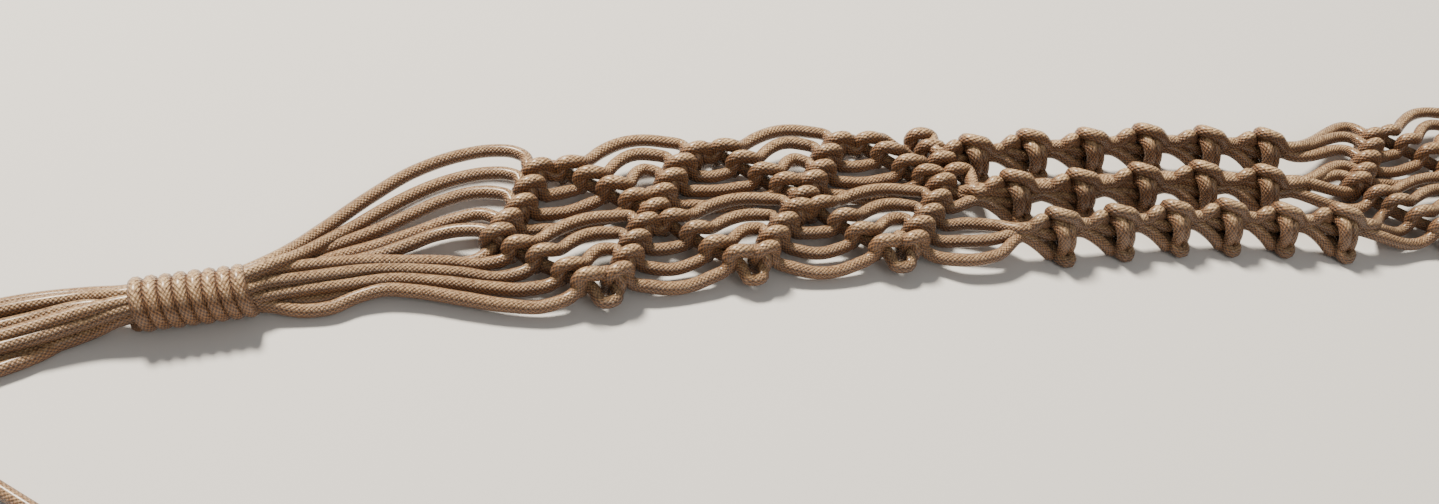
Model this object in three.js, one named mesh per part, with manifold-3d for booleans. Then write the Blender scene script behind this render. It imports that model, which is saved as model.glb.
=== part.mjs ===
// A knotted cord belt lying flat: diamond panels joined by three narrow sennits,
// with a fan of cords, a gathering wrap and loose tie ends at both ends. Millimetres, +Z up.
import * as THREE from "three";
import { mergeVertices } from "three/addons/utils/BufferGeometryUtils.js";
import Module from "manifold-3d";

// Driving dimensions

const CORD = 2.5; // thickness of the cord that everything is knotted from
const GAP = 0.3; // clearance between neighbouring pieces
const KNOT_HEIGHT = 3.3 * CORD; // from the surface to the top of a hitch
const PANELS = 4;
const DIAMONDS = 3; // in each panel
const DIAMOND_LENGTH = 29.4;
const DIAMOND_REACH = 17.5; // from the belt's middle line to a diamond's side corner
const LINK_LENGTH = 92.5; // from one panel's last crossing to the next panel's first
const FAN_LENGTH = 42;
const WRAP_LENGTH = 20.5;
const TIE_LENGTH = 60; // about how far the loose ends reach beyond the wrap

const PANEL_LENGTH = DIAMONDS * DIAMOND_LENGTH;
const REPEAT_LENGTH = PANEL_LENGTH + LINK_LENGTH;
const BAND_LENGTH = PANELS * PANEL_LENGTH + (PANELS - 1) * LINK_LENGTH;

// The belt's middle line on the surface. It leaves the first crossing at START_HEADING, and each
// bend turns it by some degrees, at and over shares of REPEAT_LENGTH.
const START_HEADING = 22;
const BENDS = [
  { at: 0.044, over: 0.277, turn: -8 },
  { at: 0.664, over: 0.249, turn: -11 },
  { at: 0.93, over: 0.221, turn: 17 },
  { at: 1.19, over: 0.387, turn: -20 },
];
const PATH_STEP = CORD / 5;

// Hitches along one side of a diamond, as shares of the side from the middle line outwards
const HITCHES = { count: 4, first: 0.19, last: 0.81 };
const RIDGE = { width: 2.4 * CORD, valley: 0.78 * KNOT_HEIGHT };

// Cords that run free between hitches, two side by side in one flat strip
const STRIP = { bottom: 0.9 * CORD, thickness: CORD, steps: 3 };
const BOW = { inside: -2, outside: 4.3 }; // of the longest cord inside and outside a diamond

// The three sennits of a link: across from the middle line as a share of DIAMOND_REACH, the free
// cord before and after as shares of LINK_LENGTH, and how many knots
const SENNITS = [
  { name: "back", across: 0.423, before: 0.022, after: 0.135, knots: 6 },
  { name: "middle", across: -0.24, before: 0.065, after: 0.173, knots: 5 },
  { name: "front", across: -0.857, before: 0.124, after: 0.038, knots: 6 },
];

// One knot of a sennit: its section at shares of the knot's length, `aside` from the sennit's line
const KNOT_RINGS = [
  { share: 0, width: 1.9 * CORD, height: 2.1 * CORD, lift: 1.1 * CORD, aside: 0.3 * CORD },
  { share: 0.3, width: 3.2 * CORD, height: 3.3 * CORD, lift: 0, aside: -0.2 * CORD },
  { share: 0.7, width: 3.2 * CORD, height: 3.3 * CORD, lift: 0, aside: -0.2 * CORD },
];
const RING_SIDES = 8;
const CROSSING = { radius: 1.3 * CORD, sides: 6 };

const WRAP = { turns: 8, radius: 1.85 * CORD, valley: 1.6 * CORD, bore: CORD, sides: 10 };

// Pairs of cords between the wrap and the first hitches: across at the wrap's mouth in cords,
// and at a share of FAN_LENGTH before the first crossing and at the end as shares of DIAMOND_REACH
const FAN_STRIPS = [
  { mouth: 1.04, along: 0.5, middle: 0.926, across: 0.777 },
  { mouth: 0.6, along: 0.452, middle: 0.411, across: 0.366 },
  { mouth: 0.08, along: 0.452, middle: 0.109, across: 0.023 },
  { mouth: -0.48, along: 0.452, middle: -0.137, across: -0.366 },
  { mouth: -1.04, along: 0.452, middle: -0.434, across: -0.777 },
];
const FAN_WIDTH = { mouth: 1.6 * CORD, end: 2.2 * CORD };
const FAN_COLLAR = { radius: 1.45 * CORD, length: 1.2 * CORD };
const TIE_COLLAR = { radius: 1.35 * CORD, length: 1.6 * CORD };

// Tie cords beyond the wrap, as locks of two cords: how far out each lock's middle line runs as
// shares of TIE_LENGTH, and how far across and how high in cords
const TIE_THICKNESS = 1.35 * CORD;
const TIE_LOCKS = [
  [
    { out: 0.025, across: 0.56, height: 2.4 },
    { out: 0.2, across: 1.68, height: 1.9 },
    { out: 0.5, across: 2, height: 1.1 },
    { out: 0.967, across: 1.4, height: 0.7 },
  ],
  [
    { out: 0.025, across: 0.16, height: 2.3 },
    { out: 0.2, across: 0.36, height: 1.6 },
    { out: 0.5, across: -0.16, height: 0.9 },
    { out: 0.9, across: -1.4, height: 0.7 },
  ],
  [
    { out: 0.025, across: -0.28, height: 2 },
    { out: 0.2, across: -0.88, height: 1.2 },
    { out: 0.467, across: -2, height: 0.75 },
    { out: 0.783, across: -3.8, height: 0.7 },
  ],
];
const TIE_LOOP = [
  { out: 0.025, across: -0.4, height: 1.4 },
  { out: 0.2, across: -1.68, height: 0.7 },
  { out: 0.417, across: -3.4, height: 0.6 },
  { out: 0.517, across: -6.4, height: 0.6 },
  { out: 0.4, across: -9.6, height: 0.6 },
  { out: 0.233, across: -14.4, height: 0.6 },
];

const wasm = await Module();
wasm.setup();

const cordMaterial = (shade) =>
  new THREE.MeshStandardMaterial({ color: shade, roughness: 0.55, metalness: 0 });
const MATERIALS = {
  panel: cordMaterial(0x7a5a40),
  sennit: cordMaterial(0x705138),
  fan: cordMaterial(0x80604a),
  wrap: cordMaterial(0x8a6a50),
  tie: cordMaterial(0x765640),
};

// The middle line as a table of places and headings, and the belt laid along it

function makePath(from, to) {
  const rows = [];
  const headingAt = (s) =>
    BENDS.reduce((sum, bend) => {
      const t = THREE.MathUtils.clamp((s / REPEAT_LENGTH - bend.at) / bend.over, 0, 1);
      return sum + bend.turn * t * t * (3 - 2 * t);
    }, START_HEADING);
  const walk = (step, end) => {
    let [x, y] = [0, 0];
    const found = [];
    for (let i = 1; i * Math.abs(step) <= Math.abs(end) + PATH_STEP; i++) {
      const middle = THREE.MathUtils.degToRad(headingAt((i - 0.5) * step));
      x += step * Math.cos(middle);
      y += step * Math.sin(middle);
      found.push({ s: i * step, x, y, heading: headingAt(i * step) });
    }
    return found;
  };
  rows.push(...walk(-PATH_STEP, from).reverse());
  rows.push({ s: 0, x: 0, y: 0, heading: START_HEADING });
  rows.push(...walk(PATH_STEP, to));
  return rows;
}

const END_LENGTH = FAN_LENGTH + WRAP_LENGTH + 1.5 * TIE_LENGTH;
const PATH = makePath(-END_LENGTH, BAND_LENGTH + END_LENGTH);

function lay(s, across, z) {
  const place = THREE.MathUtils.clamp((s - PATH[0].s) / PATH_STEP, 0, PATH.length - 1.001);
  const row = PATH[Math.floor(place)];
  const next = PATH[Math.floor(place) + 1];
  const t = place - Math.floor(place);
  const heading = THREE.MathUtils.degToRad(THREE.MathUtils.lerp(row.heading, next.heading, t));
  return new THREE.Vector3(
    THREE.MathUtils.lerp(row.x, next.x, t) - across * Math.sin(heading),
    THREE.MathUtils.lerp(row.y, next.y, t) + across * Math.cos(heading),
    z,
  );
}

// Solids

function solidOf(geometry) {
  const bare = geometry.index ? geometry.toNonIndexed() : geometry.clone();
  bare.deleteAttribute("normal");
  bare.deleteAttribute("uv");
  const merged = mergeVertices(bare, 1e-4);
  return new wasm.Manifold(
    new wasm.Mesh({
      numProp: 3,
      vertProperties: merged.attributes.position.array,
      triVerts: new Uint32Array(merged.index.array),
    }),
  );
}

const join = (solids) => solids.reduce((sum, next) => sum.add(next));

// A named mesh of a solid whose x, y are the belt's along and across, put in place by `to`
function piece(name, solid, material, to) {
  const made = solid.getMesh();
  const positions = [];
  for (let i = 0; i < made.numVert; i++) {
    const [x, y, z] = made.vertProperties.subarray(i * made.numProp, i * made.numProp + 3);
    positions.push(...to(x, y, z).toArray());
  }
  const geometry = new THREE.BufferGeometry();
  geometry.setAttribute("position", new THREE.Float32BufferAttribute(positions, 3));
  geometry.setIndex(new THREE.BufferAttribute(made.triVerts, 1));
  geometry.computeVertexNormals();
  const mesh = new THREE.Mesh(geometry, material);
  mesh.name = name;
  return mesh;
}

// A flat strip between two edge lines that run the same way, seen from above
function stripBetween(upper, lower) {
  const shape = new THREE.Shape([...upper, ...[...lower].reverse()].map(([x, y]) => new THREE.Vector2(x, y)));
  const strip = new THREE.ExtrudeGeometry(shape, { depth: STRIP.thickness, bevelEnabled: false });
  return solidOf(strip.translate(0, 0, STRIP.bottom));
}

const hitchShare = (k) =>
  THREE.MathUtils.lerp(HITCHES.first, HITCHES.last, (k - 1) / (HITCHES.count - 1));
const hitchAlong = (k) => (hitchShare(k) * DIAMOND_LENGTH) / 2;
const hitchAcross = (k) => hitchShare(k) * DIAMOND_REACH;

// An edge line of a bowed cord from one place along to another, moved across by half a cord
function bowedEdge(from, to, across, bow, offset) {
  return Array.from({ length: STRIP.steps + 1 }, (_, i) => {
    const t = i / STRIP.steps;
    return [THREE.MathUtils.lerp(from, to, t), across + bow * Math.sin(Math.PI * t) + offset];
  });
}

// Bow of the cord at hitch k: the longest free cord has all of it, shorter ones their share
function bowOf(k, kind) {
  const length = kind === "inside" ? 1 - hitchShare(k) : hitchShare(k);
  return (BOW[kind] * length) / (kind === "inside" ? 1 - HITCHES.first : HITCHES.last);
}

// An edge line of the free cord at hitch k, inside a diamond or before the next one
function cordEdge(k, kind, start, side, offset) {
  const from = kind === "inside" ? start + hitchAlong(k) : start - hitchAlong(k);
  const to = kind === "inside" ? start + DIAMOND_LENGTH - hitchAlong(k) : start + hitchAlong(k);
  return bowedEdge(from, to, hitchAcross(k), bowOf(k, kind), offset).map(([x, y]) => [x, side * y]);
}

function cordPair(outer, inner, kind, start, side) {
  const edges = [
    cordEdge(outer, kind, start, side, CORD / 2),
    cordEdge(inner, kind, start, side, -CORD / 2),
  ];
  return side > 0 ? stripBetween(edges[0], edges[1]) : stripBetween(edges[1], edges[0]);
}

// The two longest cords of both halves of a diamond meet on the middle line
function middleStrip(start) {
  const edge = (side) => cordEdge(2, "inside", start, side, CORD / 2);
  return stripBetween(edge(1), edge(-1));
}

// The row of hitches on one side of a diamond: a ridge with a crest on each hitch
function ridge(start, alongSign, side) {
  const length = Math.hypot(DIAMOND_LENGTH / 2, DIAMOND_REACH);
  const pitch = ((HITCHES.last - HITCHES.first) / (HITCHES.count - 1)) * length;
  const outline = [];
  for (let k = 1; k <= HITCHES.count; k++) {
    const middle = hitchShare(k) * length;
    outline.push([middle - pitch / 2, RIDGE.valley], [middle, KNOT_HEIGHT]);
  }
  const end = (hitchShare(HITCHES.count) * length) + pitch / 2;
  outline.push([end, RIDGE.valley], [end, 0], [outline[0][0], 0]);
  const shape = new THREE.Shape(outline.map(([x, y]) => new THREE.Vector2(x, y)));
  const bar = new THREE.ExtrudeGeometry(shape, { depth: RIDGE.width, bevelEnabled: false });
  const angle = Math.atan2(side * DIAMOND_REACH, (alongSign * DIAMOND_LENGTH) / 2);
  bar.translate(0, 0, -RIDGE.width / 2).rotateX(Math.PI / 2).rotateZ(angle);
  return solidOf(bar.translate(start, 0, 0));
}

function crossing(along) {
  const knot = new THREE.CylinderGeometry(CROSSING.radius, CROSSING.radius, KNOT_HEIGHT, CROSSING.sides);
  return solidOf(knot.rotateX(Math.PI / 2).translate(along, 0, KNOT_HEIGHT / 2));
}

// Free cords from a panel's last side to the three sennits, or back from them: a pair from
// each half goes to the outer sennit of its half, and a pair to its edge of the middle one
function leadStrips(start, alongSign) {
  const [back, middle, front] = SENNITS;
  const ends = [
    { side: 1, outer: HITCHES.count, inner: 3, to: back, edge: 0 },
    { side: 1, outer: 2, inner: 1, to: middle, edge: 0.7 * CORD },
    { side: -1, outer: 2, inner: 1, to: middle, edge: -0.7 * CORD },
    { side: -1, outer: HITCHES.count, inner: 3, to: front, edge: 0 },
  ];
  return ends.map(({ side, outer, inner, to, edge }) => {
    const x = start + alongSign * ((alongSign > 0 ? to.before : to.after) * LINK_LENGTH - GAP / 2);
    const across = to.across * DIAMOND_REACH + edge;
    const edges = [outer, inner].map((k, i) => {
      const out = (i === 0 ? side : -side) * CORD;
      const from = { x: start - alongSign * hitchAlong(k), y: side * hitchAcross(k) };
      return [
        [from.x, from.y + out / 2],
        [THREE.MathUtils.lerp(from.x, x, 0.55), THREE.MathUtils.lerp(from.y, across, 0.45) + 0.8 * out],
        [x, across + 0.8 * out],
      ];
    });
    return alongSign * side > 0 ? stripBetween(edges[0], edges[1]) : stripBetween(edges[1], edges[0]);
  });
}

// One panel, from its first crossing at 0: rows of hitches round each diamond, free cords
// inside and between the diamonds, and leads to the sennits at the ends that have them
function panel(leads) {
  const solids = [crossing(0)];
  for (let n = 0; n < DIAMONDS; n++) {
    const start = n * DIAMOND_LENGTH;
    solids.push(crossing(start + DIAMOND_LENGTH), middleStrip(start));
    for (const side of [1, -1]) {
      solids.push(ridge(start, 1, side), ridge(start + DIAMOND_LENGTH, -1, side));
      solids.push(cordPair(4, 3, "inside", start, side));
      if (n === 0) continue;
      solids.push(cordPair(4, 3, "outside", start, side), cordPair(2, 1, "outside", start, side));
    }
  }
  if (leads.before) solids.push(...leadStrips(0, -1));
  if (leads.after) solids.push(...leadStrips(PANEL_LENGTH, 1));
  return join(solids);
}

// A closed skin through rings of points, with flat ends
function skin(rings) {
  const sides = rings[0].length;
  const triangles = [];
  for (let i = 0; i + 1 < rings.length; i++) {
    for (let j = 0; j < sides; j++) {
      const [a, b] = [rings[i][j], rings[i][(j + 1) % sides]];
      const [c, d] = [rings[i + 1][j], rings[i + 1][(j + 1) % sides]];
      triangles.push(a, b, d, a, d, c);
    }
  }
  for (let j = 1; j + 1 < sides; j++) {
    triangles.push(rings[0][0], rings[0][j + 1], rings[0][j]);
    const last = rings.at(-1);
    triangles.push(last[0], last[j], last[j + 1]);
  }
  const geometry = new THREE.BufferGeometry().setFromPoints(triangles);
  return solidOf(geometry);
}

// One sennit, a chain of knots with a narrow waist between them and a flat foot
function sennit(knots, length) {
  const rows = [];
  for (let n = 0; n < knots; n++) {
    KNOT_RINGS.forEach((ring) => rows.push({ ...ring, along: ((n + ring.share) * length) / knots }));
  }
  rows.push({ ...KNOT_RINGS[0], along: length });
  return skin(
    rows.map(({ along, width, height, lift, aside }) =>
      Array.from({ length: RING_SIDES }, (_, j) => {
        const angle = (2 * Math.PI * (j + 0.5)) / RING_SIDES;
        const round = 1 / Math.cos(Math.PI / RING_SIDES);
        return new THREE.Vector3(
          along,
          aside + (width / 2) * round * Math.cos(angle),
          lift + (height / 2) * (1 + round * Math.sin(angle)),
        );
      }),
    ),
  );
}

const WRAP_START = -FAN_LENGTH - WRAP_LENGTH;
const WRAP_AXIS = WRAP.radius * Math.cos(Math.PI / WRAP.sides);

// The gathering wrap: turns of cord side by side round the bundle
function wrap() {
  const length = WRAP_LENGTH - GAP;
  const profile = [new THREE.Vector2(WRAP.bore + GAP, 0)];
  for (let n = 0; n < WRAP.turns; n++) {
    profile.push(new THREE.Vector2(WRAP.valley, (n * length) / WRAP.turns));
    profile.push(new THREE.Vector2(WRAP.radius, ((n + 0.5) * length) / WRAP.turns));
  }
  profile.push(new THREE.Vector2(WRAP.valley, length), new THREE.Vector2(WRAP.bore + GAP, length));
  profile.push(profile[0].clone());
  const turned = new THREE.LatheGeometry(profile, WRAP.sides, Math.PI / WRAP.sides);
  turned.rotateZ(-Math.PI / 2);
  return solidOf(turned.translate(WRAP_START, 0, WRAP_AXIS));
}

function rod(from, to, radius, sides, height) {
  const bar = new THREE.CylinderGeometry(radius, radius, to - from, sides, 1, false, Math.PI / sides);
  return solidOf(bar.rotateZ(-Math.PI / 2).translate((from + to) / 2, 0, height));
}

// Where a fan strip stops, a gap short of the first row of hitches or of the first crossing
function fanEnd(across) {
  const angle = Math.atan2(DIAMOND_REACH, DIAMOND_LENGTH / 2);
  const nearest = Math.abs(across) - FAN_WIDTH.end / 2;
  const hitches = nearest / Math.tan(angle) - RIDGE.width / 2 / Math.sin(angle);
  return Math.max(hitches, -CROSSING.radius) - GAP;
}

// The fan: pairs of cords that spread from a collar at the wrap to the first hitches
function fan() {
  const collar = rod(-FAN_LENGTH, -FAN_LENGTH + FAN_COLLAR.length, FAN_COLLAR.radius, RING_SIDES, WRAP_AXIS);
  const strips = FAN_STRIPS.map((row) => {
    const across = row.across * DIAMOND_REACH;
    const line = new THREE.CatmullRomCurve3([
      new THREE.Vector3(-FAN_LENGTH + FAN_COLLAR.length / 3, row.mouth * CORD, 0),
      new THREE.Vector3(-row.along * FAN_LENGTH, row.middle * DIAMOND_REACH, 0),
      new THREE.Vector3(fanEnd(across), across, 0),
    ]);
    const edge = (sign) =>
      line.getPoints(STRIP.steps + 1).map((point, i) => {
        const width = THREE.MathUtils.lerp(FAN_WIDTH.mouth, FAN_WIDTH.end, i / (STRIP.steps + 1));
        return [point.x, point.y + (sign * width) / 2];
      });
    return stripBetween(edge(1), edge(-1));
  });
  return join([collar, ...strips]);
}

// A round lock along hand-placed points, out from the wrap
function lock(points, thickness) {
  const line = new THREE.CatmullRomCurve3(
    points.map(
      ({ out, across, height }) =>
        new THREE.Vector3(WRAP_START - out * TIE_LENGTH, across * CORD, height * CORD),
    ),
  );
  const section = new THREE.Shape(
    Array.from({ length: 6 }, (_, j) => {
      const angle = (Math.PI * (j + 0.5)) / 3;
      return new THREE.Vector2(Math.cos(angle), Math.sin(angle)).multiplyScalar(thickness / 2);
    }),
  );
  const steps = 2 * points.length - 2;
  return solidOf(new THREE.ExtrudeGeometry(section, { extrudePath: line, steps, bevelEnabled: false }));
}

// The tie cords: locks fused to a neck that passes through the wrap
function tieEnds(locks) {
  const outer = WRAP_START - TIE_COLLAR.length;
  const neck = rod(outer, -FAN_LENGTH - GAP, WRAP.bore, RING_SIDES, WRAP_AXIS);
  const collar = rod(outer, WRAP_START - GAP, TIE_COLLAR.radius, RING_SIDES, WRAP_AXIS);
  return join([neck, collar, ...locks]);
}

// Assembly

const belt = new THREE.Group();
belt.name = "braided_belt";

const fromStart = (x, y, z) => lay(x, y, z);
const fromEnd = (x, y, z) => lay(BAND_LENGTH - x, -y, z);
const ENDS = [
  { side: "left", to: fromStart, ties: [...TIE_LOCKS.map((row) => lock(row, TIE_THICKNESS)), lock(TIE_LOOP, CORD)] },
  { side: "right", to: fromEnd, ties: TIE_LOCKS.map((row) => lock(row, TIE_THICKNESS)) },
];

for (const end of ENDS) {
  belt.add(piece(`fan_${end.side}`, fan(), MATERIALS.fan, end.to));
  belt.add(piece(`wrap_${end.side}`, wrap(), MATERIALS.wrap, end.to));
  belt.add(piece(`tie_ends_${end.side}`, tieEnds(end.ties), MATERIALS.tie, end.to));
}

for (let n = 0; n < PANELS; n++) {
  const start = n * REPEAT_LENGTH;
  const net = panel({ before: n > 0, after: n < PANELS - 1 });
  belt.add(piece(`panel_${n + 1}`, net, MATERIALS.panel, (x, y, z) => lay(start + x, y, z)));
  if (n === PANELS - 1) break;
  for (const row of SENNITS) {
    const from = start + PANEL_LENGTH + row.before * LINK_LENGTH + GAP / 2;
    const chain = sennit(row.knots, (1 - row.before - row.after) * LINK_LENGTH - GAP);
    const to = (x, y, z) => lay(from + x, row.across * DIAMOND_REACH + y, z);
    belt.add(piece(`sennit_${n + 1}_${row.name}`, chain, MATERIALS.sennit, to));
  }
}

// The origin is under the middle of the belt's box
const middle = new THREE.Box3().setFromObject(belt).getCenter(new THREE.Vector3());
belt.position.set(-middle.x, -middle.y, 0);

export default belt;
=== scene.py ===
"""A knotted cord belt lying flat, made of the ten cords that run through it from end to end.

Each cord is one smooth line through its ties, wrap, fan, hitches and sennits, and is cut into
the pieces that it passes. Lengths are in millimetres until a mesh is made, in the part's frame.
"""

import math

import bpy
import numpy as np
from mathutils import Matrix, Vector


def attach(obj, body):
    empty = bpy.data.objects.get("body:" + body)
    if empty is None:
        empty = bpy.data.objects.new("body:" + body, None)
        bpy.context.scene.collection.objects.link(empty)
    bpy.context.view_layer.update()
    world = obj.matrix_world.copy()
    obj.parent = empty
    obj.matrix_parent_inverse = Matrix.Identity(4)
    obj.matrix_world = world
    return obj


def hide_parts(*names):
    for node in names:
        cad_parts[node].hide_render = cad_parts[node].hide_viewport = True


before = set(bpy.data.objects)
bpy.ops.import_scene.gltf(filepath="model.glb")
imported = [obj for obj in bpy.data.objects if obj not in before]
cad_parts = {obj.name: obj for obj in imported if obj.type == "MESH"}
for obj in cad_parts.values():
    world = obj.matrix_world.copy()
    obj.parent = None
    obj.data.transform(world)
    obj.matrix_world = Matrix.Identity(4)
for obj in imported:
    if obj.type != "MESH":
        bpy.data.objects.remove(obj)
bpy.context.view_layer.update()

# Driving dimensions, the same as the solids have

CORD = 2.5
PANELS = 4
DIAMONDS = 3
DIAMOND_LENGTH = 29.4
DIAMOND_REACH = 17.5
LINK_LENGTH = 92.5
FAN_LENGTH = 42.0
WRAP_LENGTH = 20.5
TIE_LENGTH = 60.0
PANEL_LENGTH = DIAMONDS * DIAMOND_LENGTH
REPEAT_LENGTH = PANEL_LENGTH + LINK_LENGTH
BAND_LENGTH = PANELS * PANEL_LENGTH + (PANELS - 1) * LINK_LENGTH
END_LENGTH = FAN_LENGTH + WRAP_LENGTH + 1.5 * TIE_LENGTH
START = (-314.31, -9.31)
START_HEADING = 22.0

# Each bend of the middle line: where it begins and how long it is, in repeats, and its degrees
BENDS = [(0.044, 0.277, -8), (0.664, 0.249, -11), (0.93, 0.221, 17), (1.19, 0.387, -20)]
PATH_STEP = 0.5

# Each side of a diamond has four hitches, the first and the last at these shares of its length
HITCHES = 4
HITCH_FIRST, HITCH_LAST = 0.19, 0.81
LEADER_HEIGHT = 1.35 * CORD
SIDE_ANGLE = math.atan2(DIAMOND_REACH, DIAMOND_LENGTH / 2)
SIDE_COS, SIDE_SIN = math.cos(SIDE_ANGLE), math.sin(SIDE_ANGLE)
SIDE_LENGTH = DIAMOND_REACH / SIDE_SIN

# How a leader runs: where it is straight again after a crossing, two more places on a side as
# shares of its length, and how its turn at the diamond's point is rounded and sinks
LEADER_CLEAR = 1.9 * CORD
LEADER_MIDDLE, LEADER_OUTER = 0.5, 0.86
POINT_HALF = 0.55 * CORD
POINT_DROP = 0.25 * CORD

# How far the longest free cords between hitches bow away, and rise, on the far and the near side
FAR_BOW = {"outside": 2.9, "inside": 1.9, "rise": 0.1 * CORD}
NEAR_BOW = {"outside": -1.8, "inside": -0.7, "rise": -0.55 * CORD}
BOW_SPREAD = 0.2

# A free cord shorter than this along the belt goes from hitch to hitch without joining points
JOINED_LENGTH = 10

# Each sennit of a link: across from the middle line in diamond reaches, the free cord before and
# after in link lengths, and how many knots
SENNITS = {
    "back": (0.423, 0.022, 0.135, 6),
    "middle": (-0.24, 0.065, 0.173, 5),
    "front": (-0.857, 0.124, 0.038, 6),
}

# How finely the cords are made, and how uneven, thinner in tight bends and wider on top they are
STEP = 0.55
SIDES = 10
UNEVEN = 0.022
SQUEEZE = 0.1
TIGHT_BEND = 1.6
FLATTENING = 0.13
FLAT_ABOVE = 4.2
LOWEST = 0.47 * CORD
CAP_LENGTH = 0.32 * CORD
CAP_RINGS = (0.3, 0.6, 0.85, 0.97, 0.999)
RANDOM = np.random.default_rng(11)

# Where the camera stands from the first crossing, how high, and how it is turned
CAMERA_FROM_START = (7.3, -188.56)
CAMERA_HEIGHT = 194.37
CAMERA_YAW, CAMERA_PITCH, CAMERA_ROLL = 9.56, 44.48, 12.54
CAMERA_LENS = 37.53
SENSOR_WIDTH = 36


def camera():
    """The camera stands where the photograph was taken, turned a little about its own axis."""
    yaw, pitch, roll = (math.radians(a) for a in (CAMERA_YAW, CAMERA_PITCH, CAMERA_ROLL))
    level = Vector((math.cos(yaw), -math.sin(yaw), 0))
    flat = math.cos(pitch)
    ahead = Vector((math.sin(yaw) * flat, math.cos(yaw) * flat, -math.sin(pitch)))
    upright = level.cross(ahead)
    right = level * math.cos(roll) + upright * math.sin(roll)
    up = upright * math.cos(roll) - level * math.sin(roll)
    data = bpy.data.cameras.new("camera")
    data.sensor_fit = "HORIZONTAL"
    data.sensor_width = SENSOR_WIDTH
    data.lens = CAMERA_LENS
    data.clip_start, data.clip_end = 0.01, 20
    holder = bpy.data.objects.new("camera", data)
    turned = Matrix((right, up, -ahead)).transposed().to_4x4()
    x, y = (a + b for a, b in zip(START, CAMERA_FROM_START))
    turned.translation = Vector([a / 1000 for a in (x, y, CAMERA_HEIGHT)])
    holder.matrix_world = turned
    bpy.context.scene.collection.objects.link(holder)
    bpy.context.scene.camera = holder


camera()


# The belt's middle line and the belt laid along it


def make_path():
    """Rows of length, x, y and heading along the middle line, walked both ways from the start."""

    def heading(s):
        total = np.full_like(s, START_HEADING)
        for at, over, turn in BENDS:
            t = np.clip((s / REPEAT_LENGTH - at) / over, 0, 1)
            total += turn * t * t * (3 - 2 * t)
        return np.radians(total)

    def walk(step, end):
        count = int(abs(end) / abs(step)) + 2
        s = step * np.arange(count + 1)
        middle = heading(s[:-1] + step / 2)
        x = START[0] + np.concatenate(([0], np.cumsum(step * np.cos(middle))))
        y = START[1] + np.concatenate(([0], np.cumsum(step * np.sin(middle))))
        return np.stack([s, x, y, heading(s)], 1)

    back = walk(-PATH_STEP, END_LENGTH)
    return np.concatenate([back[:0:-1], walk(PATH_STEP, BAND_LENGTH + END_LENGTH)])


PATH = make_path()


def lay(points):
    """Points given along, across and up become points in the part's frame."""
    points = np.asarray(points, float)
    x, y, heading = (np.interp(points[:, 0], PATH[:, 0], PATH[:, i]) for i in (1, 2, 3))
    across = points[:, 1]
    return np.stack([x - across * np.sin(heading), y + across * np.cos(heading), points[:, 2]], 1)


# Smooth lines and tubes


def smooth(points, step=STEP):
    """A smooth line through the points at even steps, and each step's place among them."""
    p = np.asarray(points, float)
    gap = np.maximum(np.linalg.norm(np.diff(p, axis=0), axis=1), 1e-6)
    slope = np.diff(p, axis=0) / gap[:, None]
    tangent = np.empty_like(p)
    tangent[0], tangent[-1] = slope[0], slope[-1]
    before, after = gap[:-1, None], gap[1:, None]
    tangent[1:-1] = (slope[:-1] * after + slope[1:] * before) / (before + after)
    fine = 12
    t = np.linspace(0, 1, fine, endpoint=False)[None, :, None]
    a, b = p[:-1, None], p[1:, None]
    ta, tb = tangent[:-1, None] * gap[:, None, None], tangent[1:, None] * gap[:, None, None]
    line = (
        (2 * t**3 - 3 * t**2 + 1) * a
        + (t**3 - 2 * t**2 + t) * ta
        + (3 * t**2 - 2 * t**3) * b
        + (t**3 - t**2) * tb
    ).reshape(-1, 3)
    line = np.concatenate([line, p[-1:]])
    place = np.concatenate([(np.arange(len(p) - 1)[:, None] + t[0, :, 0]).ravel(), [len(p) - 1]])
    length = np.concatenate(([0], np.cumsum(np.linalg.norm(np.diff(line, axis=0), axis=1))))
    count = max(int(length[-1] / step), 3)
    even = np.linspace(0, length[-1], count + 1)
    stepped = np.stack([np.interp(even, length, line[:, i]) for i in range(3)], 1)
    return stepped, np.interp(even, length, place)


def transport(line):
    """Side directions along a line that turn as little as possible."""
    tangent = np.gradient(line, axis=0)
    tangent /= np.linalg.norm(tangent, axis=1)[:, None]
    side = np.cross(tangent[0], (0, 0, 1.0))
    if np.linalg.norm(side) < 0.1:
        side = np.cross(tangent[0], (0, 1.0, 0))
    side /= np.linalg.norm(side)
    sides = np.empty_like(line)
    for i, t in enumerate(tangent):
        side = side - t * side.dot(t)
        side /= math.sqrt(side.dot(side))
        sides[i] = side
    return tangent, sides, np.cross(tangent, sides)


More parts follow.
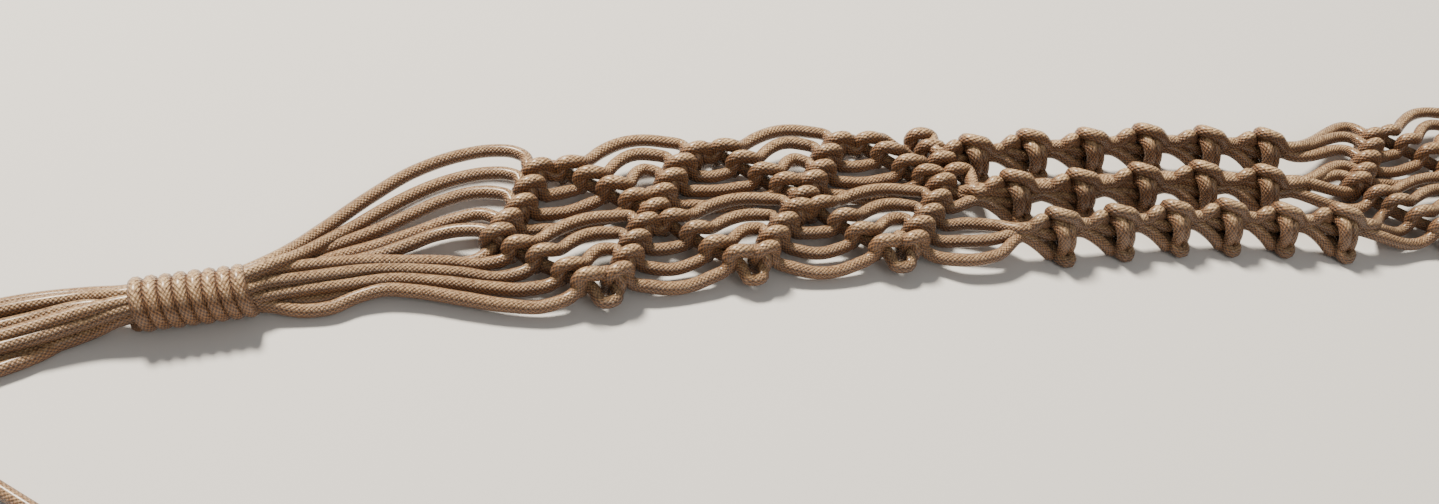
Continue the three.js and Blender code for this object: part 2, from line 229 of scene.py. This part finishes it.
class Skin:
    """The tubes of one piece, gathered until they become one mesh."""

    def __init__(self):
        self.points, self.faces, self.uvs, self.tones, self.count = [], [], [], [], 0

    def add(self, rings, along, tone):
        """Rings of points, each ring's length along the cord in cord widths, and its tone."""
        n, k = rings.shape[:2]
        ring = np.arange(n - 1)[:, None] * k + self.count
        j = np.arange(k)
        corners = np.stack([ring + j, ring + (j + 1) % k, ring + k + (j + 1) % k, ring + k + j], -1)
        u0 = np.repeat(along[:-1, None], k, 1)
        u1 = np.repeat(along[1:, None], k, 1)
        v0 = np.repeat(j[None] / k, n - 1, 0)
        v1 = v0 + 1 / k
        uv = [np.stack(pair, -1) for pair in ((u0, v0), (u0, v1), (u1, v1), (u1, v0))]
        self.points.append(rings.reshape(-1, 3))
        self.faces.append(corners.reshape(-1, 4))
        self.uvs.append(np.stack(uv, 2).reshape(-1, 2))
        self.tones.append(np.repeat(tone, k))
        self.count += n * k

    def mesh(self, name, material):
        """The object that these tubes become."""
        data = bpy.data.meshes.new(name)
        data.from_pydata(np.concatenate(self.points) / 1000, [], np.concatenate(self.faces))
        layer = data.uv_layers.new(name="cord")
        layer.data.foreach_set("uv", np.concatenate(self.uvs).astype(np.float32).ravel())
        tone = data.attributes.new("tone", "FLOAT", "POINT")
        tone.data.foreach_set("value", np.concatenate(self.tones).astype(np.float32))
        data.materials.append(material)
        data.shade_smooth()
        piece = bpy.data.objects.new(name, data)
        bpy.context.scene.collection.objects.link(piece)
        return piece


def slow_noise(count, reach):
    """Smooth random values about zero, that change over `reach` steps."""
    knots = RANDOM.normal(size=max(count // reach, 1) + 3)
    return np.interp(np.arange(count) / reach, np.arange(len(knots)), knots)


def tube(line, thickness):
    """Rings round a line, a little uneven as waxed cord is, and thinner where it bends tightly."""
    tangent, side, up = transport(line)
    bend = np.linalg.norm(np.gradient(tangent, axis=0), axis=1) / STEP * CORD
    squeeze = np.convolve(np.clip(bend / TIGHT_BEND, 0, 1), np.full(7, 1 / 7), "same")
    radius = thickness / 2 * (1 + UNEVEN * slow_noise(len(line), 9) - SQUEEZE * squeeze)
    angle = 2 * math.pi * np.arange(SIDES) / SIDES
    ring = np.cos(angle)[None, :, None] * side[:, None] + np.sin(angle)[None, :, None] * up[:, None]
    return line[:, None] + ring * radius[:, None, None], tangent


def rounded_end(rings, centre, direction):
    """More rings that close a tube's last ring with a blunt round."""
    extra = []
    for out in CAP_RINGS:
        width = math.sqrt(1 - out**2)
        extra.append(centre + direction * (CAP_LENGTH * out) + (rings[-1] - centre) * width)
    return np.concatenate([rings, np.array(extra)])


# One hitch on a leader that rises to the right, as the cord comes from the far left and leaves to
# the near right: over the leader, round it, back across its own first turn and round once more.
# On a leader that falls, the cord comes straight from its far arc into the part that lies on top,
# and the hitch is mirrored. Points are along the leader, across it to the near side and up from
# its middle, in cord widths

HITCH_TURN = [
    (0.38, 0.46, 1.12),
    (0.52, 0.66, 0.6),
    (0.46, 0.42, 0.0),
    (0.42, 0.28, -0.5),
    (0.4, 0.0, -0.72),
    (0.38, -0.58, -0.55),
    (0.38, -0.8, 0.0),
    (0.35, -0.62, 0.42),
    (0.3, -0.12, 0.68),
    (0.28, 0.35, 0.6),
    (0.28, 0.75, 0.24),
]
HITCH = {
    "rising": [
        (-0.08, -0.8, 0.74),
        (-0.15, -0.2, 0.74),
        (-0.28, 0.24, 0.5),
        (-0.32, 0.34, 0.0),
        (-0.34, 0.25, -0.5),
        (-0.4, 0.0, -0.72),
        (-0.44, -0.6, -0.55),
        (-0.5, -0.84, 0.0),
        (-0.54, -0.78, 0.62),
        (-0.38, -0.46, 1.14),
        (0.0, 0.0, 1.32),
        *HITCH_TURN,
    ],
    "falling": [(-0.46, -0.72, 1.05), (-0.22, -0.3, 1.24), (0.06, 0.06, 1.3), *HITCH_TURN],
}
HITCH_FAR = {"rising": (0.3, -1.4, 0.6), "falling": (-0.58, -1.36, 0.75)}
HITCH_NEAR = (0.36, 1.08, -0.1)

# How much longer along its leader and narrower across it a hitch is, and how much hitches differ
# in place along, across and up, and in form
HITCH_SIZE = {"rising": (1.1, 0.92), "falling": (1.12, 0.9)}
HITCH_SPREAD = (0.1, 0.1, 0.04, 0.07)


def hitch(along, across, lean, far, near):
    """A hitch on a leader that rises or falls to the right, with its far and near ends or not."""
    rows = [HITCH_FAR[lean]] * far + HITCH[lean] + [HITCH_NEAR] * near
    mirror = 1 if lean == "rising" else -1
    longer, shorter = HITCH_SIZE[lean]
    wobble = RANDOM.normal(size=4) * HITCH_SPREAD
    points = []
    for a, b, c in rows[::mirror]:
        a, b = a * longer * (1 + wobble[3]), b * shorter * (1 - wobble[3])
        points.append(
            (
                along + CORD * (mirror * (a * SIDE_COS + b * SIDE_SIN) + wobble[0]),
                across + CORD * (a * SIDE_SIN - b * SIDE_COS + wobble[1]),
                LEADER_HEIGHT + CORD * (c + wobble[2] * (c > 0)),
            )
        )
    return points


def row_share(k):
    """How far out row k of the hitches lies, from 0 at a crossing to 1 at a diamond's point."""
    return HITCH_FIRST + (HITCH_LAST - HITCH_FIRST) * (k - 1) / (HITCHES - 1)


def between(start, end, t):
    """The point at share t of the straight way from start to end."""
    return tuple(a + t * (b - a) for a, b in zip(start, end))


def free_run(start, end, k, kind, side):
    """The points of a free cord of row k between two hitches, outside or inside a diamond.

    The long ones bow most. The shortest on the near side bow a little the other way.
    """
    bows = FAR_BOW if (side > 0) == (kind == "outside") else NEAR_BOW
    length = (row_share(k) if kind == "outside" else 1 - row_share(k)) / HITCH_LAST
    reach = end[0] - start[0]
    if reach < CORD:
        return []
    amount = (5 * length - 2) / 3 if bows is NEAR_BOW else 0.3 + 0.7 * length
    bow = bows[kind] * amount + RANDOM.normal(0, BOW_SPREAD)
    rise = bows["rise"] * amount
    points = []
    for t in (0.18, 0.36, 0.5, 0.64, 0.82) if reach > 2 * CORD else (0.5,):
        s, across, up = between(start, end, t)
        points.append((s, across + bow * math.sin(math.pi * t), up + rise * math.sin(math.pi * t)))
    return points


def knotting_run(k, side, start, fan):
    """A cord that hitches over the leaders at row k of every diamond of the panel at start.

    Where it comes from the fan, its first hitch has no joining point on the outside.
    """
    x, across = row_share(k) * DIAMOND_LENGTH / 2, side * (row_share(k) * DIAMOND_REACH)
    outwards, inwards = ("rising", "falling") if side > 0 else ("falling", "rising")
    far, near = ("outside", "inside") if side > 0 else ("inside", "outside")
    joins = {"outside": 2 * x > JOINED_LENGTH, "inside": DIAMOND_LENGTH - 2 * x > JOINED_LENGTH}
    first_joins = {**joins, "outside": joins["outside"] and not fan}
    points = []
    for n in range(DIAMONDS):
        first = start + n * DIAMOND_LENGTH
        before = first_joins if n == 0 else joins
        out = hitch(first + x, across, outwards, before[far], before[near])
        if points:
            points += free_run(points[-1], out[0], k, "outside", side)
        back = hitch(first + DIAMOND_LENGTH - x, across, inwards, joins[far], joins[near])
        points += out + free_run(out[-1], back[0], k, "inside", side) + back
    return points


def leader_run(side, start):
    """A leader that zigzags from crossing to crossing, outwards on `side` first."""
    stations = (LEADER_CLEAR, LEADER_MIDDLE * SIDE_LENGTH, LEADER_OUTER * SIDE_LENGTH)
    points = []
    for n in range(DIAMONDS + 1):
        here = start + n * DIAMOND_LENGTH
        way = side if n % 2 == 0 else -side
        if way < 0:
            points += hitch(here, 0, "rising", False, False)
        else:
            points.append((here, 0, LEADER_HEIGHT))
        if n == DIAMONDS:
            break
        for d in stations:
            points.append((here + d * SIDE_COS, way * d * SIDE_SIN, LEADER_HEIGHT))
        for turn in (-POINT_HALF, POINT_HALF):
            s = here + DIAMOND_LENGTH / 2 + turn
            points.append((s, way * DIAMOND_REACH, LEADER_HEIGHT - POINT_DROP))
        for d in stations[::-1]:
            points.append((here + DIAMOND_LENGTH - d * SIDE_COS, way * d * SIDE_SIN, LEADER_HEIGHT))
    return points


# One square knot of a sennit. Points are along the sennit from the knot's middle, across it and
# to its front, in cord widths. The upper worker goes behind the core and turns below in front of
# the lower one, which comes up in front of the core and turns behind the upper one

UPPER_WORKER = [
    (-2.05, 1.08, 0.35),
    (-1.68, 1.36, 0.6),
    (-1.3, 1.62, 0.72),
    (-0.92, 1.5, 0.36),
    (-0.62, 0.95, -0.3),
    (-0.5, 0.3, -0.85),
    (-0.25, -0.8, -0.35),
    (-0.1, -1.45, 0.3),
    (0.32, -1.75, 0.48),
    (0.72, -1.4, 0.3),
    (0.78, -0.8, -0.35),
    (0.6, 0.4, -0.85),
    (0.3, 1.2, -0.6),
    (0.08, 1.75, -0.15),
    (-0.08, 2.05, 0.42),
    (0.1, 2.02, 0.98),
    (0.62, 1.84, 1.12),
    (1.2, 1.66, 0.98),
    (1.65, 1.3, 0.6),
    (1.95, 1.04, 0.35),
]
LOWER_WORKER = [
    (-2.2, 0.15, 0.2),
    (-1.55, -0.4, 0.25),
    (-0.9, -1.05, 0.05),
    (-0.3, -1.52, -0.4),
    (0.02, -1.0, 0.25),
    (0.12, 0.1, 1.08),
    (0.12, 0.85, 1.08),
    (0.12, 1.35, 0.4),
    (0.2, 1.55, -0.2),
    (0.5, 1.65, -0.35),
    (0.8, 1.5, -0.2),
    (0.95, 1.2, 0.25),
    (0.95, 0.7, 0.62),
    (0.9, 0.0, 0.62),
    (0.78, -0.9, 0.1),
    (0.78, -1.4, -0.45),
    (0.92, -0.95, -0.75),
    (1.15, -0.1, -0.65),
    (1.5, 0.4, -0.35),
    (2.05, 0.5, 0.0),
]

# Each worker with its place at the waist between two knots, and the core's cords across
WORKERS = {"upper": (UPPER_WORKER, (1.06, 0.28)), "lower": (LOWER_WORKER, (0.38, 0.12))}
CORES = {"core": 0, "core_up": 0.42, "core_down": -0.42}
CORE_LINE, CORE_RISE, CORE_DEPTH = 0.4, 0.42, 0.02
KNOT_LEAN = 0.24
KNOT_TILT = math.radians(50)
KNOT_AXIS = 1.5 * CORD
KNOT_TURN_SPREAD, KNOT_SIZE_SPREAD = 0.09, 0.04


def sennit_run(row, cord, start):
    """The points of one cord of a sennit: its upper or lower worker, or part of its core."""
    across, before, after, knots = SENNITS[row]
    across *= DIAMOND_REACH
    length = (1 - before - after) * LINK_LENGTH
    pitch = length / knots
    begin = start + before * LINK_LENGTH

    def tilted(along, b, c):
        """A point from the sennit's own frame, whose front leans back from the viewer."""
        v = b * math.cos(KNOT_TILT) - c * math.sin(KNOT_TILT)
        z = b * math.sin(KNOT_TILT) + c * math.cos(KNOT_TILT)
        return (begin + along - KNOT_LEAN * CORD * b, across + CORD * v, KNOT_AXIS + CORD * z)

    points = []
    if cord in CORES:
        for i in range(2 * knots + 1):
            rise = CORE_RISE if i % 2 == 0 else 0
            points.append(tilted(i * pitch / 2, CORE_LINE + CORES[cord] + rise, CORE_DEPTH))
        return points
    rows, (b, c) = WORKERS[cord]
    for n in range(knots):
        points.append(tilted(n * pitch, b, c))
        turn = RANDOM.normal(0, KNOT_TURN_SPREAD)
        size = 1 + RANDOM.normal(0, KNOT_SIZE_SPREAD)
        cos, sin = math.cos(turn), math.sin(turn)
        for x, y, z in rows:
            y, z = size * (y * cos - z * sin), y * sin + z * cos
            points.append(tilted((n + 0.5) * pitch + x * CORD, y, z))
    points.append(tilted(length, b, c))
    return points


# The cords between the wrap and the first hitches, along from the first crossing, across and up
# in cord widths

FAN = {
    ("up", 4): [
        (-39.4, 1.9, 2.6),
        (-34, 5.9, 1.9),
        (-28.5, 10.0, 1.5),
        (-19, 16.2, 1.4),
        (-9.4, 21.0, 1.45),
        (0, 23.0, 1.55),
        (5.3, 22.6, 1.7),
        (9.2, 20.6, 1.95),
        (10.6, 18.3, 2.1),
    ],
    ("up", 3): [
        (-38.8, 0.7, 2.75),
        (-34.2, 3.2, 2.1),
        (-29.2, 6.4, 1.6),
        (-24, 9.2, 1.4),
        (-16.5, 12.9, 1.4),
        (-10.5, 15.3, 1.45),
        (-3.5, 16.9, 1.55),
        (3, 16.6, 1.75),
        (6.4, 15.1, 1.95),
        (7.7, 13.4, 2.1),
    ],
    ("up", 2): [
        (-38.5, 1.8, 1.4),
        (-29.5, 5.4, 1.3),
        (-21, 7.6, 1.3),
        (-14, 9.9, 1.35),
        (-6.6, 12.1, 1.5),
        (-0.6, 12.3, 1.7),
        (2.8, 10.9, 1.9),
        (4.4, 9.4, 2.05),
    ],
    ("up", 1): [
        (-38, 0.8, 1.5),
        (-27, 3.6, 1.2),
        (-19.5, 4.6, 1.25),
        (-13.4, 5.8, 1.3),
        (-6.2, 6.9, 1.5),
        (-1.2, 6.4, 1.8),
    ],
    ("up", 0): [
        (-39, -2.8, 0.8),
        (-33, -4.0, 0.55),
        (-27, -3.4, 0.5),
        (-12, -1.6, 0.7),
        (-4, -2.4, 1.1),
    ],
    ("down", 0): [
        (-38, 0.4, 1.6),
        (-27, 2.0, 1.1),
        (-21, 2.4, 1.15),
        (-15.6, 3.2, 1.3),
        (-10.4, 4.2, 1.45),
        (-5.6, 3.4, 1.8),
    ],
    ("down", 1): [
        (-40, 0.2, 2.35),
        (-36, 0.9, 2.05),
        (-30, 1.1, 1.75),
        (-24, 0.7, 1.55),
        (-16.8, -0.8, 1.4),
        (-10.4, -2.2, 1.3),
        (-3.6, -3.9, 1.1),
    ],
    ("down", 2): [
        (-40.5, -1.6, 2.1),
        (-35.6, -1.3, 1.8),
        (-28, -1.2, 1.55),
        (-21.6, -1.4, 1.35),
        (-15.6, -2.8, 1.25),
        (-8.3, -5.3, 1.2),
        (-1.6, -7.6, 1.05),
    ],
    ("down", 3): [
        (-38, -2.9, 1.4),
        (-28.3, -3.0, 1.15),
        (-19.1, -3.8, 1.1),
        (-11.8, -6.4, 1.1),
        (-4.5, -9.4, 1.05),
        (1.4, -11.2, 1.0),
    ],
    ("down", 4): [
        (-40, -4.2, 0.9),
        (-36, -5.6, 0.6),
        (-31, -6.3, 0.6),
        (-26.5, -5.3, 0.75),
        (-22, -5.2, 0.95),
        (-16.5, -7.0, 0.95),
        (-9.7, -10.4, 0.95),
        (-2.6, -13.8, 0.9),
        (3.4, -15.7, 0.95),
    ],
}

# The wrap: how high its axis is, how far across at its mouth and how much further at its outer
# end, its radius, its turns, where the first begins, how much they lean and how flat they are
WRAP_AXIS = 1.88 * CORD
WRAP_ACROSS, WRAP_SLANT = -2.1, 1.3
WRAP_RADIUS = 1.37 * CORD
WRAP_TURNS = 8
WRAP_BEGIN = 0.42
WRAP_LEAN = 0.22
WRAP_FLATNESS = 0.97
WRAP_POINTS = 24
WRAP_STEP = 0.5
WRAP_THICKNESS = 1.02 * CORD

# Where each cord lies in the bundle inside the wrap, from its axis and in cord widths
BUNDLE = {
    ("up", 4): (0.75, 0.55),
    ("up", 3): (0.3, 0.85),
    ("up", 2): (0.75, 0.0),
    ("up", 1): (0.3, 0.1),
    ("up", 0): (0.3, -0.6),
    ("down", 0): (-0.1, 0.2),
    ("down", 1): (-0.25, 0.7),
    ("down", 2): (-0.65, 0.4),
    ("down", 3): (-0.75, -0.1),
    ("down", 4): (-0.45, -0.6),
}

# The tie cords: how far out from the wrap, how far across, and how high in cord widths
TIES = {
    ("up", 4): [(5, 3.2, 1.9), (14, 5.0, 1.5), (32, 5.4, 0.7), (57, 3.6, 0.55)],
    ("up", 3): [(5, 1.9, 2.2), (14, 3.0, 1.9), (32, 3.0, 1.1), (55, 1.2, 0.55)],
    ("up", 2): [(5, 2.6, 0.8), (14, 4.2, 0.55), (32, 3.0, 0.5), (56, 6.2, 0.5)],
    ("up", 1): [(5, 0.9, 1.4), (14, 1.4, 0.9), (32, 0.6, 0.5), (53, -1.4, 0.5)],
    ("down", 0): [(5, 0.1, 2.1), (14, 0.6, 1.6), (32, -0.4, 1.3), (52, -3.6, 0.55)],
    ("down", 1): [(5, -1.2, 2.3), (14, -1.6, 1.8), (31, -3.0, 1.1), (50, -6.6, 0.55)],
    ("down", 2): [(5, -2.3, 1.8), (14, -3.0, 1.4), (29, -4.6, 1.1), (47, -8.6, 0.5)],
    ("down", 3): [(5, -2.6, 0.9), (13, -3.6, 0.5), (28, -6.2, 0.5), (44, -11.4, 0.5)],
    ("down", 4): [(5, -1.4, 0.7), (12, -2.0, 0.5), (28, -3.2, 0.5), (47, -9.0, 0.5)],
    ("up", 0): [
        (5, 0.0, 0.6),
        (12, -3.9, 0.5),
        (25, -8.5, 0.5),
        (31, -16.5, 0.5),
        (24.5, -25, 0.5),
        (15, -37, 0.5),
    ],
}

# Only the left end has a tie that loops forward; the right end has this one in its place
PLAIN_TIE = [(5, 0.0, 0.6), (13, 0.6, 0.5), (30, -1.6, 0.5), (51, -5.2, 0.5)]


def wrap_shift(t):
    """How far across the wrap's axis lies, from its mouth at 0 to its outer end at 1."""
    return WRAP_ACROSS + WRAP_SLANT * t


def end_run(key, far=False):
    """A cord's points at an end: its tie, its way through the wrap and its way through the fan."""
    table = PLAIN_TIE if far and key == ("up", 0) else TIES[key]
    ties = [(-FAN_LENGTH - WRAP_LENGTH - out, across, up * CORD) for out, across, up in table][::-1]
    v, z = BUNDLE[key]
    inside = [
        (-FAN_LENGTH - WRAP_LENGTH * t, CORD * v + wrap_shift(t), WRAP_AXIS + CORD * z)
        for t in (1.0, 0.75, 0.5, 0.25)
    ]
    spread = [(s, across, up * CORD) for s, across, up in FAN[key]]
    return ties, inside, spread


def turned_round(points):
    """The far end is the near end turned half round."""
    return [(BAND_LENGTH - s, -v, z) for s, v, z in points][::-1]


# The sennit that each cord goes into, and what it does there
SENNIT_PLACE = {
    ("up", 4): ("back", "upper"),
    ("up", 3): ("back", "core"),
    ("up", 2): ("back", "lower"),
    ("up", 1): ("middle", "upper"),
    ("up", 0): ("middle", "core_up"),
    ("down", 0): ("middle", "core_down"),
    ("down", 1): ("middle", "lower"),
    ("down", 2): ("front", "upper"),
    ("down", 3): ("front", "core"),
    ("down", 4): ("front", "lower"),
}

# How far the front cords bow between the last hitch of a panel and the sennit after it
JOIN_BOW = {("down", 4): -3.4, ("down", 3): -1.0, ("down", 2): 1.3}
JOIN_DROP = 0.25 * CORD

# Where the back cords have one more hitch there, along from the end of the panel and across
JOIN_HITCH = {
    ("up", 4): (-0.4, 14.2),
    ("up", 3): (0.6, 10.6),
    ("up", 2): (1.8, 6.9),
    ("up", 1): (3.6, 3.2),
}


def joining_run(key, start, end, panel_end):
    """The points of a cord between a panel and a sennit."""
    if key in JOIN_HITCH:
        along, across = JOIN_HITCH[key]
        return hitch(panel_end + along, across, "falling", False, key != ("up", 1))
    points = []
    for t in (0.33, 0.67) if key in JOIN_BOW else ():
        s, across, up = between(start, end, t)
        points.append((s, across + JOIN_BOW[key] * math.sin(math.pi * t), up - JOIN_DROP))
    return points


def cord_runs(key):
    """One cord from end to end, as (piece, points) in order."""
    way, k = key
    side = 1 if way == "up" else -1
    ties, inside, spread = end_run(key)
    runs = [("tie_ends_left", ties), ("tie_ends_left", inside), ("fan_left", spread)]
    for n in range(PANELS):
        start = n * REPEAT_LENGTH
        points = leader_run(side, start) if k == 0 else knotting_run(k, side, start, n == 0)
        runs.append((f"panel_{n + 1}", points))
        if n < PANELS - 1:
            row, place = SENNIT_PLACE[key]
            knots = sennit_run(row, place, start + PANEL_LENGTH)
            join = joining_run(key, points[-1], knots[0], start + PANEL_LENGTH)
            runs.append((f"sennit_{n + 1}_{row}", join + knots))
    ties, inside, spread = end_run(("down" if way == "up" else "up", k), far=True)
    for name, points in (("fan_right", spread), ("tie_ends_right", inside), ("tie_ends_right", ties)):
        runs.append((name, turned_round(points)))
    return runs


skins = {}


def add_cord(key):
    """One cord's tube, cut where it goes from piece to piece and added to their skins."""
    runs = cord_runs(key)
    points = np.array([p for _, row in runs for p in row])
    owner = [name for name, row in runs for _ in row]
    line, place = smooth(lay(points))
    line[:, 2] = np.maximum(line[:, 2], LOWEST)
    names = [owner[min(int(i), len(owner) - 1)] for i in np.round(place)]
    knotted = np.array([name.startswith(("panel", "sennit")) for name in names])
    flat = FLATTENING * knotted * np.clip(2 * line[:, 2] / CORD - FLAT_ABOVE, 0, 1)
    rings, tangent = tube(line, CORD * (1 + flat))
    along = np.arange(len(line)) * STEP / CORD + RANDOM.uniform(0, 50)
    tone = RANDOM.normal(0, 0.35) + 0.3 * slow_noise(len(line), 160)
    begins = [i for i, name in enumerate(names) if i == 0 or name != names[i - 1]]
    for begin, stop in zip(begins, begins[1:] + [len(line)]):
        last = min(stop + 1, len(line))
        part = rings[begin:last]
        caps = [0, 0]
        if last == len(line):
            part = rounded_end(part, line[-1], tangent[-1])
            caps[1] = len(CAP_RINGS)
        if begin == 0:
            part = rounded_end(part[::-1], line[0], -tangent[0])[::-1]
            caps[0] = len(CAP_RINGS)
        part_along, part_tone = (np.pad(a[begin:last], caps, "edge") for a in (along, tone))
        skins.setdefault(names[begin], Skin()).add(part, part_along, part_tone)


def wrap_line():
    """The wrap: turns side by side round the bundle, leaning a little."""
    count = WRAP_TURNS * WRAP_POINTS
    angle = 2 * math.pi * (np.arange(count + 1) / WRAP_POINTS + WRAP_BEGIN)
    advance = (WRAP_LENGTH - CORD) * np.arange(count + 1) / count
    along = -FAN_LENGTH - WRAP_LENGTH + CORD / 2 + advance
    up = WRAP_RADIUS * WRAP_FLATNESS * np.cos(angle)
    across = -WRAP_RADIUS * np.sin(angle)
    lean = -WRAP_LEAN * (up - across)
    shift = wrap_shift((-FAN_LENGTH - along) / WRAP_LENGTH)
    return np.stack([along + lean, across + shift, WRAP_AXIS + up], 1)


def add_wrap(side):
    """The wrap of the left or the right end, a little paler than the other cords."""
    points = wrap_line()
    if side == "right":
        points = np.array(turned_round(points.tolist()))
    line, _ = smooth(lay(points), WRAP_STEP)
    rings, tangent = tube(line, WRAP_THICKNESS)
    rings = rounded_end(rings, line[-1], tangent[-1])
    rings = rounded_end(rings[::-1], line[0], -tangent[0])[::-1]
    along = np.arange(len(rings)) * WRAP_STEP / CORD
    skins[f"wrap_{side}"] = Skin()
    skins[f"wrap_{side}"].add(rings, along, 0.8 + 0.3 * slow_noise(len(rings), 40))


for key in FAN:
    add_cord(key)
for side in ("left", "right"):
    add_wrap(side)


# The cord's material

# Painted shade, for the dark in the braid's valleys
VALLEY_SHADE = (0.05, 0.022, 0.01, 1)
DARK_BROWN = (0.165, 0.07, 0.024, 1)
WARM_BROWN = (0.35, 0.165, 0.06, 1)
# Partly pale wax, partly a painted highlight on the cords' tops
WAX_BLOOM_AND_HIGHLIGHT = (0.84, 0.58, 0.31, 1)
STRANDS_ROUND, STRANDS_PER_WIDTH = 11, 3.1
WAX = {
    "Specular IOR Level": 0.5,
    "Sheen Weight": 0.06,
    "Sheen Roughness": 0.5,
    "Coat Weight": 0.45,
    "Coat Roughness": 0.24,
}
RELIEF = {"Strength": 0.9, "Distance": 0.0004}


def waxed_cord():
    """Braided cotton cord, dyed brown and waxed: painted shade between its strands, and pale wax with
    a painted highlight where it faces up.
    """
    material = bpy.data.materials.new("waxed_cord")
    material.use_nodes = True
    tree = material.node_tree
    node, link = tree.nodes, tree.links
    shader = node["Principled BSDF"]

    def math_node(operation, *values, clamp=False):
        made = node.new("ShaderNodeMath")
        made.operation, made.use_clamp = operation, clamp
        for socket, value in zip(made.inputs, values):
            if isinstance(value, (int, float)):
                socket.default_value = value
            else:
                link.new(value, socket)
        return made.outputs[0]

    def mix_node(factor, first, second):
        made = node.new("ShaderNodeMix")
        made.data_type = "RGBA"
        for name, value in (("Factor_Float", factor), ("A_Color", first), ("B_Color", second)):
            socket = next(s for s in made.inputs if s.identifier == name)
            if isinstance(value, tuple):
                socket.default_value = value
            else:
                link.new(value, socket)
        return next(s for s in made.outputs if s.identifier == "Result_Color")

    def noise(scale, detail, roughness=0.55):
        made = node.new("ShaderNodeTexNoise")
        made.inputs["Scale"].default_value = scale
        made.inputs["Detail"].default_value = detail
        made.inputs["Roughness"].default_value = roughness
        link.new(place.outputs["Object"], made.inputs["Vector"])
        return made.outputs["Fac"]

    def axis(vector, letter):
        made = node.new("ShaderNodeSeparateXYZ")
        link.new(vector, made.inputs[0])
        return made.outputs[letter]

    place = node.new("ShaderNodeTexCoord")
    uv = node.new("ShaderNodeUVMap")
    uv.uv_map = "cord"
    tone = node.new("ShaderNodeAttribute")
    tone.attribute_name = "tone"
    face = node.new("ShaderNodeNewGeometry")

    # Two sets of strands wound opposite ways, a whole number of each round the cord
    turn = math_node("MULTIPLY", axis(uv.outputs["UV"], "Y"), STRANDS_ROUND * 2 * math.pi)
    run = math_node("MULTIPLY", axis(uv.outputs["UV"], "X"), STRANDS_PER_WIDTH * 2 * math.pi)
    drift = math_node("MULTIPLY", noise(900, 2), 1.6)
    one = math_node("SINE", math_node("ADD", math_node("ADD", run, turn), drift))
    other = math_node("SINE", math_node("ADD", math_node("SUBTRACT", run, turn), drift))
    braid = math_node("MULTIPLY_ADD", math_node("ADD", one, other), 0.25, 0.5)
    fibre = noise(5200, 4, 0.7)
    patches = noise(150, 3)
    grain = noise(1700, 3)

    # Colour: painted shade darkens the braid's valleys, brown on its strands, and each cord's own
    # tone
    strand_unshaded = math_node("MULTIPLY_ADD", braid, 1.5, -0.2, clamp=True)
    base = mix_node(strand_unshaded, VALLEY_SHADE, mix_node(patches, DARK_BROWN, WARM_BROWN))
    bright = node.new("ShaderNodeHueSaturation")
    link.new(base, bright.inputs["Color"])
    link.new(math_node("MULTIPLY_ADD", tone.outputs["Fac"], 0.22, 1.0), bright.inputs["Value"])

    # A pale bloom of wax in specks where a cord faces up, more so where it lies high: partly real
    # wax, partly a painted highlight on the tops
    rubbed_and_lit = math_node("MULTIPLY_ADD", axis(face.outputs["Normal"], "Z"), 1.9, -0.95, clamp=True)
    speck = math_node("MULTIPLY_ADD", grain, 2.6, -0.8, clamp=True)
    high = math_node("MULTIPLY_ADD", axis(place.outputs["Object"], "Z"), 240.0, -1.2, clamp=True)
    height_bloom_and_highlight = math_node("MULTIPLY_ADD", high, 0.6, 0.55)
    bloom_and_highlight = math_node("MULTIPLY", math_node("MULTIPLY", rubbed_and_lit, speck), height_bloom_and_highlight, clamp=True)
    link.new(mix_node(bloom_and_highlight, bright.outputs["Color"], WAX_BLOOM_AND_HIGHLIGHT), shader.inputs["Base Color"])

    link.new(math_node("MULTIPLY_ADD", patches, 0.3, 0.3), shader.inputs["Roughness"])
    for name, value in WAX.items():
        shader.inputs[name].default_value = value

    bump = node.new("ShaderNodeBump")
    for name, value in RELIEF.items():
        bump.inputs[name].default_value = value
    relief = math_node("ADD", math_node("MULTIPLY", braid, 0.7), math_node("MULTIPLY", fibre, 0.5))
    link.new(relief, bump.inputs["Height"])
    link.new(bump.outputs["Normal"], shader.inputs["Normal"])
    return material


finish = waxed_cord()
for name in sorted(skins):
    piece = skins[name].mesh(f"{name}_cords", finish)
    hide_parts(name)
    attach(piece, "root")


FLOOR_HALF = 6
FLOOR_COLOUR = (0.72, 0.71, 0.69, 1)
WORLD_COLOUR = (1, 0.98, 0.95, 1)


def stage():
    """A plain pale floor and soft lights."""
    far, near = FLOOR_HALF, -FLOOR_HALF
    corners = [(near, near, 0), (far, near, 0), (far, far, 0), (near, far, 0)]
    floor_data = bpy.data.meshes.new("floor")
    floor_data.from_pydata(corners, [], [(0, 1, 2, 3)])
    floor = bpy.data.objects.new("floor", floor_data)
    bpy.context.scene.collection.objects.link(floor)
    pale = bpy.data.materials.new("floor")
    pale.use_nodes = True
    surface = pale.node_tree.nodes["Principled BSDF"].inputs
    surface["Base Color"].default_value = FLOOR_COLOUR
    surface["Roughness"].default_value = 0.8
    floor_data.materials.append(pale)

    world = bpy.data.worlds.new("world")
    world.use_nodes = True
    background = world.node_tree.nodes["Background"].inputs
    background["Color"].default_value = WORLD_COLOUR
    background["Strength"].default_value = 0.25
    bpy.context.scene.world = world

    def light(name, place, aim, size, power, colour):
        data = bpy.data.lights.new(name, "AREA")
        data.shape, data.size, data.energy, data.color = "DISK", size, power, colour
        lamp = bpy.data.objects.new(name, data)
        lamp.location = place
        lamp.rotation_mode = "QUATERNION"
        lamp.rotation_quaternion = (Vector(aim) - Vector(place)).to_track_quat("-Z", "Y")
        bpy.context.scene.collection.objects.link(lamp)

    light("key", (-0.75, 0.62, 0.95), (-0.15, 0, 0), 0.24, 42, (1, 0.91, 0.78))
    light("fill", (0.5, -1.1, 1.2), (0, 0, 0), 1.2, 6, (1, 0.97, 0.93))


stage()
